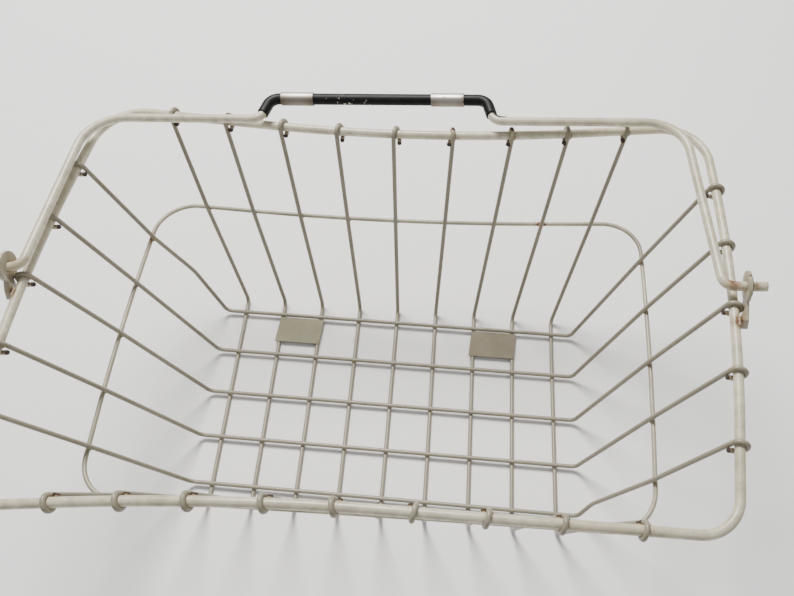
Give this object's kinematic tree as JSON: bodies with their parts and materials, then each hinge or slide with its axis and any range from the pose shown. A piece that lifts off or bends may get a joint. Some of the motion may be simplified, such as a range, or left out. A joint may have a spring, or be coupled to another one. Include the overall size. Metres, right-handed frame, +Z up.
{
  "type": "wire shopping basket",
  "caption": "Tapered hand basket of welded painted wire with a round-rod top rail, a mid-height hoop and one folding bail with a sleeved hand-hold.",
  "frame": {"origin": "on the plane the basket stands on, under the middle of the top rail", "axes": "+X along the basket's length to the right, +Y to the rear, where the bail lies when folded back, +Z up"},
  "size_m": [0.524, 0.333, 0.2105],
  "materials": {
    "cream_paint": "aged cream gloss enamel, chipped and rusty at the welds",
    "plate_paint": "grimy worn cream enamel",
    "lug_paint": "aged cream enamel with rust along the weld",
    "grip_vinyl": "smooth black vinyl, slightly glossy, with paint flecks",
    "ferrule_metal": "satin, scuffed and stained",
    "washer_steel": "dark, lightly rusted"
  },
  "bodies": {
    "basket": {"top_rail": "cream_paint", "cross_wire_1": "cream_paint", "cross_wire_2": "cream_paint", "cross_wire_3": "cream_paint", "cross_wire_4": "cream_paint", "cross_wire_5": "cream_paint", "cross_wire_6": "cream_paint", "cross_wire_7": "cream_paint", "cross_wire_8": "cream_paint", "cross_wire_9": "cream_paint", "long_wire_1": "cream_paint", "long_wire_2": "cream_paint", "long_wire_3": "cream_paint", "long_wire_4": "cream_paint", "long_wire_5": "cream_paint", "hoop": "cream_paint", "floor_plate_left": "plate_paint", "floor_plate_right": "plate_paint", "pivot_lug_left": "lug_paint", "pivot_lug_right": "lug_paint"},
    "bail": {"bail_rod": "cream_paint", "grip_tube": "grip_vinyl", "ferrule_left": "ferrule_metal", "ferrule_right": "ferrule_metal", "retaining_washer_left": "washer_steel", "retaining_washer_right": "washer_steel"}
  },
  "joints": [
    {"name": "bail_hinge", "type": "hinge", "parent": "basket", "child": "bail", "pos_m": [0, 0.001, 0.2], "axis": [0.9999, 0.0128, 0], "range_deg": [0, 182]}
  ]
}
